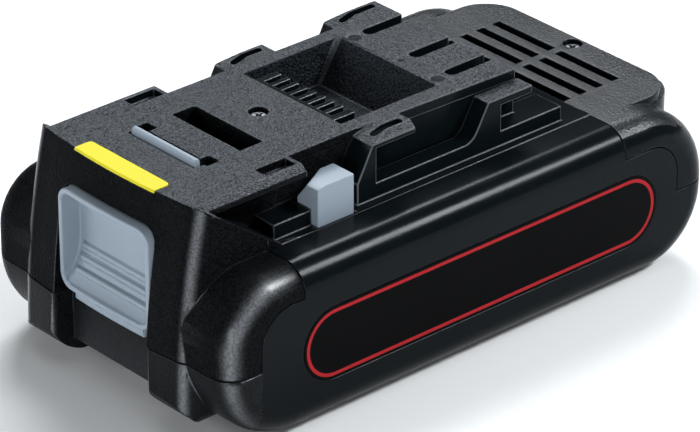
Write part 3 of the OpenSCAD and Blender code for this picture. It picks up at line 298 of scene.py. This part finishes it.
def make_mould_grain():
    """Spark-eroded mould grain: fine pits, and a slow drift for the colour."""
    group, entry, leave = new_group(
        "mould_grain",
        [("Point", "NodeSocketVector", None), ("Grain size", "NodeSocketFloat", 0.0004),
         ("Amount", "NodeSocketFloat", 1.0)],
        [("Height", "NodeSocketFloat"), ("Speckle", "NodeSocketFloat"),
         ("Drift", "NodeSocketFloat")])
    point = entry.outputs["Point"]
    per_grain = math_node(group, "DIVIDE", 1.0, entry.outputs["Grain size"])
    fine = noise(group, point, per_grain, GRAIN_DETAIL, GRAIN_NOISE)
    cells = add(group, "ShaderNodeTexVoronoi", voronoi_dimensions="3D")
    join(group, point, cells.inputs["Vector"])
    join(group, per_grain, cells.inputs["Scale"])
    drift = noise(group, point, DRIFT_SCALE, DRIFT_DETAIL)
    pits = math_node(group, "MULTIPLY", cells.outputs["Distance"], GRAIN_PITS)
    height = math_node(group, "ADD", fine, pits)
    about_zero = math_node(group, "SUBTRACT", height, GRAIN_MIDDLE)
    scaled = math_node(group, "MULTIPLY", about_zero, entry.outputs["Amount"])
    join(group, scaled, leave.inputs["Height"])
    speckle = math_node(group, "MULTIPLY_ADD", fine, SPECKLE_GAIN, SPECKLE_SHIFT, clamp=True)
    join(group, speckle, leave.inputs["Speckle"])
    join(group, drift, leave.inputs["Drift"])
    return group


mould_grain = make_mould_grain()


def make_case_finish():
    """Black case plastic: grain where the mask is 1, satin where it is 0, lighter on its edges and
    nose corners as wear and a painted highlight.
    """
    group, entry, leave = new_group(
        "case_finish",
        [("Point", "NodeSocketVector", None), ("Grain", "NodeSocketFloat", 1.0),
         ("Edge", "NodeSocketFloat", 0.0), ("Corner", "NodeSocketFloat", 0.0),
         ("Peaks", "NodeSocketColor", None)],
        [("Color", "NodeSocketColor"), ("Roughness", "NodeSocketFloat"),
         ("Height", "NodeSocketFloat")])
    point, mask, edge = (entry.outputs[label] for label in ("Point", "Grain", "Edge"))
    eroded = place_group(group, mould_grain, Point=point, Grain_size=GRAIN_SIZE * MM, Amount=mask)
    satin = place_group(group, mould_grain, Point=point, Grain_size=SATIN_SIZE * MM,
                        Amount=SATIN_SHARE)
    speckle, drift = eroded.outputs["Speckle"], satin.outputs["Drift"]

    grained = mix_colour(group, speckle, GRAIN_DARK, entry.outputs["Peaks"])
    polished = mix_colour(group, drift, SATIN_DARK, SATIN_LIGHT)
    body = mix_colour(group, mask, polished, grained)
    # Edges lighter in colour: wear, and a painted edge highlight
    patches = math_node(group, "MULTIPLY_ADD", drift, EDGE_PATCH_GAIN, EDGE_PATCH_BASE)
    wear_and_highlight = math_node(group, "MULTIPLY", edge, patches, clamp=True)
    edged = mix_colour(group, wear_and_highlight, body, EDGE_WEAR_AND_HIGHLIGHT)
    # Nose corners lighter in colour: a painted highlight over rubbed plastic
    points = math_node(group, "MULTIPLY_ADD", speckle, SPARKLE_GAIN, SPARKLE_BASE)
    sparkle = math_node(group, "MULTIPLY", entry.outputs["Corner"], points)
    join(group, mix_colour(group, sparkle, edged, CORNER_WEAR_AND_HIGHLIGHT), leave.inputs["Color"])

    spread = math_node(group, "MULTIPLY_ADD", speckle, GRAIN_ROUGH_SPREAD,
                       GRAIN_ROUGH - SATIN_ROUGH - GRAIN_ROUGH_SPREAD / 2)
    plain = math_node(group, "MULTIPLY_ADD", drift, SATIN_ROUGH_SPREAD,
                      SATIN_ROUGH - SATIN_ROUGH_SPREAD / 2)
    rough = math_node(group, "MULTIPLY_ADD", spread, mask, plain)
    at_edges = math_node(group, "MULTIPLY_ADD", edge, -EDGE_POLISH, rough)
    join(group, at_edges, leave.inputs["Roughness"])
    height = math_node(group, "ADD", eroded.outputs["Height"], satin.outputs["Height"])
    join(group, height, leave.inputs["Height"])
    return group


case_finish = make_case_finish()


def case_black(name, grain, specular, depth, edge_share, peaks_and_sheen=PLAIN_PEAKS):
    """Case plastic with a share of grain, its depth in millimetres and its peaks' colour, in which
    a painted sheen is set.
    """
    material, tree, shader = new_material(name)
    at_edges = add(tree, "ShaderNodeAttribute", attribute_name=EDGE_LAYER)
    corner = add(tree, "ShaderNodeAttribute", attribute_name=CORNER_LAYER)
    edge = math_node(tree, "MULTIPLY", at_edges.outputs["Fac"], edge_share)
    finish = place_group(tree, case_finish, Point=object_point(tree), Grain=grain, Edge=edge,
                         Corner=corner.outputs["Fac"], Peaks=(*peaks_and_sheen, 1.0))
    join(tree, finish.outputs["Color"], shader.inputs["Base Color"])
    join(tree, finish.outputs["Roughness"], shader.inputs["Roughness"])
    grain_normal = bump(tree, finish.outputs["Height"], 1.0, depth * MM)
    join(tree, grain_normal, shader.inputs["Normal"])
    shader.inputs["Specular IOR Level"].default_value = specular
    join(tree, corner.outputs["Fac"], shader.inputs["Coat Weight"])
    shader.inputs["Coat Roughness"].default_value = RUB_GLOSS_ROUGH
    return material


def moulded_plastic(name, dark, light, rough, grain_size, depth, specular=0.5):
    """Moulded plastic: grain size and depth in millimetres, a little colour drift."""
    material, tree, shader = new_material(name)
    grain = place_group(tree, mould_grain, Point=object_point(tree), Grain_size=grain_size * MM)
    colour = mix_colour(tree, grain.outputs["Drift"], dark, light)
    join(tree, colour, shader.inputs["Base Color"])
    spread = math_node(tree, "MULTIPLY_ADD", grain.outputs["Speckle"], PLASTIC_ROUGH_SPREAD,
                       rough - PLASTIC_ROUGH_SPREAD / 2)
    join(tree, spread, shader.inputs["Roughness"])
    grain_normal = bump(tree, grain.outputs["Height"], 1.0, depth * MM)
    join(tree, grain_normal, shader.inputs["Normal"])
    shader.inputs["Specular IOR Level"].default_value = specular
    return material


def worked_metal(name, dark, light, rough, stretch):
    """Rolled or drawn metal: fine lines along one direction and slight tarnish."""
    material, tree, shader = new_material(name)
    turn = add(tree, "ShaderNodeMapping")
    turn.inputs["Scale"].default_value = stretch
    join(tree, object_point(tree), turn.inputs["Vector"])
    lines = noise(tree, turn.outputs["Vector"], DRAWN_LINE_SCALE, DRAWN_LINE_DETAIL)
    tarnish = noise(tree, object_point(tree), TARNISH_SCALE)
    join(tree, mix_colour(tree, tarnish, dark, light), shader.inputs["Base Color"])
    spread = math_node(tree, "MULTIPLY_ADD", lines, METAL_ROUGH_SPREAD,
                       rough - METAL_ROUGH_SPREAD / 2)
    join(tree, spread, shader.inputs["Roughness"])
    line_normal = bump(tree, lines, DRAWN_LINE_STRENGTH, DRAWN_LINE_DEPTH * MM)
    join(tree, line_normal, shader.inputs["Normal"])
    shader.inputs["Metallic"].default_value = 1.0
    return material


def label_film():
    """Dark film with a thin red border that follows the label's round-ended outline."""
    material, tree, shader = new_material("label_film")
    point = object_point(tree)
    split = add(tree, "ShaderNodeSeparateXYZ")
    join(tree, point, split.inputs[0])
    radius = LABEL_HEIGHT / 2 * MM
    straight = (LABEL_LENGTH - LABEL_HEIGHT) / 2 * MM
    along = math_node(tree, "SUBTRACT", split.outputs["X"], LABEL_MID_X * MM)
    past = math_node(tree, "SUBTRACT", math_node(tree, "ABSOLUTE", along), straight)
    over = math_node(tree, "MAXIMUM", past, 0.0)
    up = math_node(tree, "SUBTRACT", split.outputs["Z"], LABEL_MID_Z * MM)
    squares = math_node(tree, "ADD", math_node(tree, "MULTIPLY", over, over),
                        math_node(tree, "MULTIPLY", up, up))
    from_edge = math_node(tree, "SUBTRACT", radius, math_node(tree, "SQRT", squares))
    off_line = math_node(tree, "SUBTRACT", from_edge, BORDER_INSET * MM)
    halves = math_node(tree, "MULTIPLY", math_node(tree, "ABSOLUTE", off_line),
                       1 / (BORDER_HALF * MM))
    eased = math_node(tree, "SMOOTH_MAX", halves, 0.0, BORDER_SOFT)
    border = math_node(tree, "SUBTRACT", 1.0, eased, clamp=True)
    line = math_node(tree, "MULTIPLY", border, BORDER_GAIN, clamp=True)

    grain = place_group(tree, mould_grain, Point=point, Grain_size=FILM_GRAIN * MM)
    film = mix_colour(tree, grain.outputs["Drift"], FILM_DARK, FILM_LIGHT)
    red = mix_colour(tree, grain.outputs["Drift"], RED_DARK, RED_LIGHT)
    join(tree, mix_colour(tree, line, film, red), shader.inputs["Base Color"])
    rough = math_node(tree, "MULTIPLY_ADD", grain.outputs["Speckle"], FILM_ROUGH_SPREAD, FILM_ROUGH)
    join(tree, rough, shader.inputs["Roughness"])
    film_normal = bump(tree, grain.outputs["Height"], 1.0, FILM_DEPTH * MM)
    join(tree, film_normal, shader.inputs["Normal"])
    shader.inputs["Specular IOR Level"].default_value = FILM_SPECULAR
    return material


# Case plastic: share of grain, specular level, depth, edge wear and painted edge highlight, peaks;
# the lighter peaks on the platform, vent and pit and the darker ones on the nose are painted sheen
# and shade
platform_grain = case_black("platform_grain", 1.0, 0.42, 0.5, 0.5, (0.054, 0.063, 0.076))
vent_grain = case_black("vent_grain", 0.55, 0.28, 0.14, 0.4, (0.026, 0.03, 0.037))
nose_grain = case_black("nose_grain", 1.0, 0.012, 0.26, 0.1, (0.0075, 0.0081, 0.0095))
pit_grain = case_black("pit_grain", 1.0, 0.07, 0.4, 1.0, (0.028, 0.034, 0.043))
end_grain = case_black("end_grain", 0.6, 0.07, 0.14, 0.1)
slide_satin = case_black("slide_satin", 0.0, 0.045, 0.1, 1.0)
cheek_satin = case_black("cheek_satin", 0.0, 0.06, 0.1, 0.05)
comb_black = case_black("comb_black", 0.0, 0.1, 0.05, 1.0)

# Other plastics: two colours, roughness, grain size, depth, specular level
latch_grey = moulded_plastic("latch_grey", (0.225, 0.27, 0.318), (0.265, 0.308, 0.36),
                             0.42, 0.3, 0.01, 0.3)
strip_yellow = moulded_plastic("strip_yellow", (0.57, 0.5, 0.003), (0.61, 0.54, 0.005),
                               0.45, 0.4, 0.006, 0.2)
holder_black = moulded_plastic("holder_black", (0.02, 0.02, 0.021), (0.03, 0.03, 0.032),
                               0.5, 0.4, 0.02)
carrier_ivory = moulded_plastic("carrier_ivory", (0.6, 0.57, 0.48), (0.68, 0.65, 0.56),
                                0.5, 0.4, 0.02)
sheet_white = moulded_plastic("sheet_white", (0.75, 0.75, 0.71), (0.82, 0.82, 0.78),
                              0.6, 0.6, 0.02)
board_green = moulded_plastic("board_green", (0.015, 0.11, 0.045), (0.025, 0.15, 0.06),
                              0.35, 0.8, 0.01)
chip_black = moulded_plastic("chip_black", (0.012, 0.012, 0.013), (0.02, 0.02, 0.021),
                             0.5, 0.3, 0.01)
jacket_blue = moulded_plastic("jacket_blue", (0.03, 0.12, 0.33), (0.04, 0.15, 0.38),
                              0.28, 1.0, 0.01)
bead_black = moulded_plastic("bead_black", (0.015, 0.015, 0.016), (0.025, 0.025, 0.026),
                             0.35, 0.4, 0.01)

# Metals: two colours, roughness, stretch of the lines
screw_steel = worked_metal("screw_steel", (0.13, 0.135, 0.145), (0.22, 0.225, 0.24),
                           0.42, (1.0, 1.0, 1.0))
spring_steel = worked_metal("spring_steel", (0.5, 0.5, 0.5), (0.62, 0.62, 0.63),
                            0.25, (1.0, 1.0, 0.2))
nickel_strip = worked_metal("nickel_strip", (0.58, 0.57, 0.54), (0.7, 0.69, 0.66),
                            0.3, (0.1, 1.0, 1.0))
contact_brass = worked_metal("contact_brass", (0.62, 0.45, 0.2), (0.75, 0.58, 0.28),
                             0.3, (1.0, 1.0, 0.1))
printed_film = label_film()


# Pieces

def finish_piece(bm, name, material, body, smooth_angle=SMOOTH_ANGLE):
    """Turns a bmesh into a smooth shaded object that rides on a body."""
    mesh = bpy.data.meshes.new(name)
    bm.to_mesh(mesh)
    bm.free()
    mesh.shade_smooth()
    mesh.set_sharp_from_angle(angle=math.radians(smooth_angle))
    mesh.materials.append(material)
    piece = bpy.data.objects.new(name, mesh)
    bpy.context.scene.collection.objects.link(piece)
    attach(piece, body)
    return piece


def on_bow_end(edge):
    """Whether an edge lies where the bowed nose front runs smoothly into its round corner."""
    return all(abs(abs(v.co.y / MM) - BOW_END_Y) < SAME_PLACE and v.co.x / MM < RECESS_X
               for v in edge.verts)


def on_pit_corner(edge):
    """Whether an edge is one of the two slanted corners at the rear of the terminal pit."""
    low, high = sorted((v.co / MM for v in edge.verts), key=lambda p: p.z)
    return (high.z - low.z > PIT_CORNER_RISE and low.x > 0.0 and high.x < PIT_END_X
            and low.y * high.y > 0.0
            and all(abs(abs(p.y) - PIT_CORNER_Y) < SAME_PLACE for p in (low, high)))


def round_edges(bm, edges, radius, segments):
    """Rounds edges to a radius in millimetres and gives back the new faces."""
    return bmesh.ops.bevel(bm, geom=edges, offset=radius * MM, offset_type="OFFSET",
                           segments=segments, profile=0.5, affect="EDGES",
                           clamp_overlap=False, material=-1)["faces"]


def rub_and_highlight_corners(bm, nose_end):
    """Marks how far the upright round corners of the nose end are rubbed and carry a painted
    highlight, most in the middle.
    """
    wear_and_highlight = bm.verts.layers.float.new(CORNER_LAYER)
    for vert in bm.verts:
        place, normal = vert.co / MM, vert.normal
        if (place.x > nose_end or normal.x > FACING_REAR
                or abs(abs(place.y) - BOW_END_Y) < SAME_PLACE):
            continue
        if abs(place.y) > NOSE_SIDE_Y and normal.z > 0.0:
            share = 1.0
            off = HIGHLIGHT_ARC.dot(Vector((normal.x, -abs(normal.y), normal.z)))
            turn = math.degrees(math.asin(max(-1.0, min(1.0, off))))
        else:
            share = max(0.0, 1.0 - HIGHLIGHT_FADE * abs(normal.z))
            middle = NOSE_HIGHLIGHT_TURN if abs(place.y) < NOSE_SIDE_Y else CHEEK_HIGHLIGHT_TURN
            turn = math.degrees(math.atan2(abs(normal.y), -normal.x)) - middle
        vert[wear_and_highlight] = share * math.exp(-(turn / HIGHLIGHT_SPREAD) ** 2)


def upper_zone(place, up):
    """Finish of the upper case at a place in millimetres; the zones' grain peaks also carry painted
    sheen, lightest on upward faces.

    0 platform, 1 vent plate, 2 nose, 3 slide recess, 4 pit and mould marks, 5 rear.
    """
    if place.x > PLATE_X:
        return 1 if up > FACING_UP else 5
    if (MARKS_X[0] < place.x < MARKS_X[1]
            and MARK_FLOOR_Z[0] < place.z < MARK_FLOOR_Z[1]):
        return 4
    if place.z > TAB_LOW_Z and up > FACING_UP:
        return 0
    if place.x < RECESS_X or (abs(place.y) < PLATFORM_SIDE_Y and place.x < PIT_X):
        return 2
    if abs(place.y) < PIT_HALF_Y and place.x < PIT_END_X:
        return 4
    return 3


def lower_zone(place, _up):
    """Finish of the lower case: 0 satin cheeks, 1 grained nose end."""
    return 1 if place.x < CHEEK_SEAM_X else 0


def eased_copy(node, name, material, body, radius, more=(), zone=None, nose_end=None,
               fillet=False):
    """The node's shape with rounded edges, and a finish for each zone where it has several."""
    bm = bmesh.new()
    bm.from_mesh(nodes[node].data)
    surface = BVHTree.FromBMesh(bm)
    at_edges = bm.faces.layers.float.new(EDGE_LAYER)
    bmesh.ops.remove_doubles(bm, verts=bm.verts, dist=MERGE_GAP * MM)
    filleted = [e for e in bm.edges if fillet and on_pit_corner(e)]
    # The pit corners' fillets get the full mark of wear and painted highlight
    if filleted:
        for face in round_edges(bm, filleted, PIT_FILLET, FILLET_SEGMENTS):
            face[at_edges] = 1.0
    sharp = [e for e in bm.edges if e.is_manifold and not on_bow_end(e)
             and e.calc_face_angle(0) > math.radians(SHARP_ANGLE)]
    # Rounded edges get the mark for wear and a painted edge highlight, weaker at the nose
    for face in round_edges(bm, sharp, radius, EDGE_SEGMENTS):
        in_front = face.calc_center_median().x / MM <= RAIL_END_X
        face[at_edges] = NOSE_EDGE_WEAR_AND_HIGHLIGHT if in_front else 1.0
    # A point that the rounding threw off the shape goes back onto it
    node_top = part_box(node)[1].z
    for vert in bm.verts:
        nearest, _, _, off = surface.find_nearest(vert.co)
        if off > STRAY_LIMIT * MM:
            vert.co = nearest
        vert.co.z = min(vert.co.z, node_top)
    bm.normal_update()
    if nose_end:
        rub_and_highlight_corners(bm, nose_end)
    if zone:
        for face in bm.faces:
            face.material_index = zone(face.calc_center_median() / MM, face.normal.z)
    piece = finish_piece(bm, name, material, body)
    for finish in more:
        piece.data.materials.append(finish)
    weigh = piece.modifiers.new("even_faces", "WEIGHTED_NORMAL")
    weigh.keep_sharp = True
    weigh.weight = FACE_WEIGHT
    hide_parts(node)


def widen(bm, verts, factor, x):
    """Scales a ring of vertices about a screw's axis."""
    bmesh.ops.scale(bm, vec=(factor, factor, 1.0), verts=verts,
                    space=Matrix.Translation((-x * MM, 0.0, 0.0)))


def raise_cap(bm, cap, x, lift, factor):
    """Extrudes a round cap upwards to a new width, with no floor left inside, and gives it back."""
    on_wall = all(len(e.link_faces) > 1 for e in cap.edges)
    grown = bmesh.ops.extrude_face_region(bm, geom=[cap])["geom"]
    verts = [g for g in grown if isinstance(g, bmesh.types.BMVert)]
    bmesh.ops.translate(bm, vec=(0.0, 0.0, lift * MM), verts=verts)
    widen(bm, verts, factor, x)
    top = next(g for g in grown if isinstance(g, bmesh.types.BMFace))
    if on_wall:
        bmesh.ops.delete(bm, geom=[cap], context="FACES")
    return top


def level_faces(bm, x, top):
    """The faces of one screw that lie flat at the top of its head."""
    return [f for f in bm.faces
            if all(abs(v.co.z - top * MM) < LEVEL_GAP * MM for v in f.verts)
            and abs(f.calc_center_median().x - x * MM) < SCREW_HEAD_D * MM]


def cross_screw(bm, x, top):
    """A pan head screw at x with a tapered cross recess and its head's top at a height."""
    tip = top - SCREW_HEAD_H - SCREW_LENGTH
    ring = bmesh.ops.create_circle(bm, cap_ends=True, radius=SCREW_SHANK_D / 2 * MM,
                                   segments=SCREW_SIDES,
                                   matrix=Matrix.Translation((x * MM, 0.0, tip * MM)))
    cap = ring["verts"][0].link_faces[0]
    cap = raise_cap(bm, cap, x, SCREW_LENGTH, 1.0)
    cap = raise_cap(bm, cap, x, 0.0, SCREW_HEAD_D / SCREW_SHANK_D)
    cap = raise_cap(bm, cap, x, SCREW_HEAD_H - SCREW_DOME, 1.0)
    for rise, draw in DOME_STEPS:
        cap = raise_cap(bm, cap, x, SCREW_DOME * rise, 1.0 - draw * SCREW_DOME / SCREW_HEAD_D)
    top_faces = [cap]
    for normal in ((1.0, 0.0, 0.0), (0.0, 1.0, 0.0)):
        for off in (-CROSS_L / 2, -CROSS_W / 2, CROSS_W / 2, CROSS_L / 2):
            place = (x * MM + normal[0] * off * MM, normal[1] * off * MM, top * MM)
            edges = {e for f in top_faces for e in f.edges}
            verts = {v for f in top_faces for v in f.verts}
            bmesh.ops.bisect_plane(bm, geom=top_faces + list(edges) + list(verts),
                                   dist=CUT_GAP * MM, plane_co=place, plane_no=normal)
            top_faces = level_faces(bm, x, top)
    arms = []
    for face in top_faces:
        middle = face.calc_center_median()
        along, across = abs(middle.x / MM - x), abs(middle.y / MM)
        if max(along, across) < CROSS_L / 2 and min(along, across) < CROSS_W / 2:
            arms.append(face)
    sunk = bmesh.ops.extrude_face_region(bm, geom=arms)["geom"]
    verts = [g for g in sunk if isinstance(g, bmesh.types.BMVert)]
    bmesh.ops.delete(bm, geom=arms, context="FACES")
    bmesh.ops.translate(bm, vec=(0.0, 0.0, -CROSS_DEPTH * MM), verts=verts)
    widen(bm, verts, CROSS_TAPER, x)


def make_screws():
    """Both case screws, in the platform and in the vent plate."""
    bm = bmesh.new()
    cross_screw(bm, FRONT_SCREW_X, PLATFORM_Z - SCREW_DROP)
    cross_screw(bm, REAR_SCREW_X, SHOULDER_Z - SCREW_DROP)
    bmesh.ops.recalc_face_normals(bm, faces=bm.faces)
    piece = finish_piece(bm, "screws", screw_steel, "pack", WIRE_SMOOTH_ANGLE)
    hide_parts("case_screws")


def make_springs():
    """Both latch springs, on a copy of their own mesh."""
    bm = bmesh.new()
    bm.from_mesh(nodes["latch_springs"].data)
    bmesh.ops.remove_doubles(bm, verts=bm.verts, dist=MERGE_GAP * MM)
    piece = finish_piece(bm, "springs", spring_steel, "pack", WIRE_SMOOTH_ANGLE)
    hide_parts("latch_springs")
    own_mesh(piece)


eased_copy("upper_case", "upper_shell", platform_grain, "pack", 0.25,
           more=(vent_grain, nose_grain, slide_satin, pit_grain, cheek_satin),
           zone=upper_zone, nose_end=RECESS_X, fillet=True)
eased_copy("lower_case", "lower_shell", cheek_satin, "pack", 0.2,
           more=(end_grain,), zone=lower_zone, nose_end=CHEEK_SEAM_X)
eased_copy("release_button", "button", latch_grey, "latch", 0.35)
eased_copy("latch_yoke", "yoke", latch_grey, "latch", 0.2)
eased_copy("terminal_block", "comb", comb_black, "pack", 0.15)
make_screws()
make_springs()

# Nodes whose own shape stays
for material, kept in (
        (strip_yellow, ("indicator_strip",)),
        (printed_film, ("label_right", "label_left")),
        (contact_brass, ("terminal_contacts",)),
        (board_green, ("circuit_board",)),
        (chip_black, ("board_chips",)),
        (carrier_ivory, ("board_carrier",)),
        (jacket_blue, ("cell_1", "cell_2", "cell_3", "cell_4", "cell_5")),
        (holder_black, ("cell_holder_right", "cell_holder_left")),
        (nickel_strip, ("cell_links_right", "cell_links_left", "plus_tab", "minus_tab")),
        (sheet_white, ("insulator_right", "insulator_left")),
        (bead_black, ("thermistor",))):
    for node in kept:
        nodes[node].data.materials.clear()
        nodes[node].data.materials.append(material)


# Floor, light and camera

def make_floor():
    """A plain pale floor just under the pack."""
    material, _, shader = new_material("pale_floor")
    shader.inputs["Base Color"].default_value = FLOOR_GREY
    shader.inputs["Roughness"].default_value = FLOOR_ROUGH
    shader.inputs["Specular IOR Level"].default_value = 0.0
    bm = bmesh.new()
    bmesh.ops.create_grid(bm, x_segments=1, y_segments=1, size=FLOOR_HALF)
    mesh = bpy.data.meshes.new("floor")
    bm.to_mesh(mesh)
    bm.free()
    mesh.materials.append(material)
    floor = bpy.data.objects.new("floor", mesh)
    floor.location.z = -FLOOR_DROP
    bpy.context.scene.collection.objects.link(floor)


def softbox(name, direction, distance, width, height, power, target=PACK_MIDDLE):
    """A rectangular lamp that faces its target from a direction."""
    lamp = bpy.data.lights.new(name, "AREA")
    lamp.shape = "RECTANGLE"
    lamp.size = width
    lamp.size_y = height
    lamp.energy = power
    lamp.color = LAMP_COLOUR
    obj = bpy.data.objects.new(name, lamp)
    bpy.context.scene.collection.objects.link(obj)
    place = Vector(target) + Vector(direction).normalized() * distance
    obj.location = place
    obj.rotation_euler = (Vector(target) - place).to_track_quat("-Z", "Y").to_euler()


def make_sky():
    """A faint even light from all sides."""
    world = bpy.data.worlds.new("studio")
    world.use_nodes = True
    sky = next(n for n in world.node_tree.nodes if n.type == "BACKGROUND")
    sky.inputs["Color"].default_value = (1.0, 1.0, 1.0, 1.0)
    sky.inputs["Strength"].default_value = SKY_STRENGTH
    bpy.context.scene.world = world


def make_camera():
    """A long lens that looks down on the nose end and the right side."""
    data = bpy.data.cameras.new("camera")
    data.sensor_width = SENSOR_WIDTH
    data.lens = LENS
    data.clip_start = NEAR_CLIP
    camera = bpy.data.objects.new("camera", data)
    bpy.context.scene.collection.objects.link(camera)
    back = Vector(CAMERA_BACK).normalized()
    right = Vector(CAMERA_RIGHT).normalized()
    turned = Matrix((right, back.cross(right), back)).transposed().to_4x4()
    camera.matrix_world = Matrix.Translation(CAMERA_PLACE) @ turned
    bpy.context.scene.camera = camera


make_floor()
softbox("back_softbox", (0.427, 0.481, 0.766), 1.4, 0.6, 0.45, 18.0)
softbox("key_softbox", (0.585, -0.473, 0.658), 1.2, 0.29, 0.26, 15.0)
softbox("top_softbox", (-0.1, -0.1, 1.0), 1.6, 1.2, 1.2, 5.0)
softbox("left_fill", (-0.8, 0.5, 0.3), 1.2, 0.6, 0.5, 6.0)
softbox("front_strip", (-0.78, -0.62, 0.05), 1.1, 0.16, 0.4, 9.0, NOSE_FOOT)
make_sky()
make_camera()
bpy.context.scene.view_settings.view_transform = "Standard"
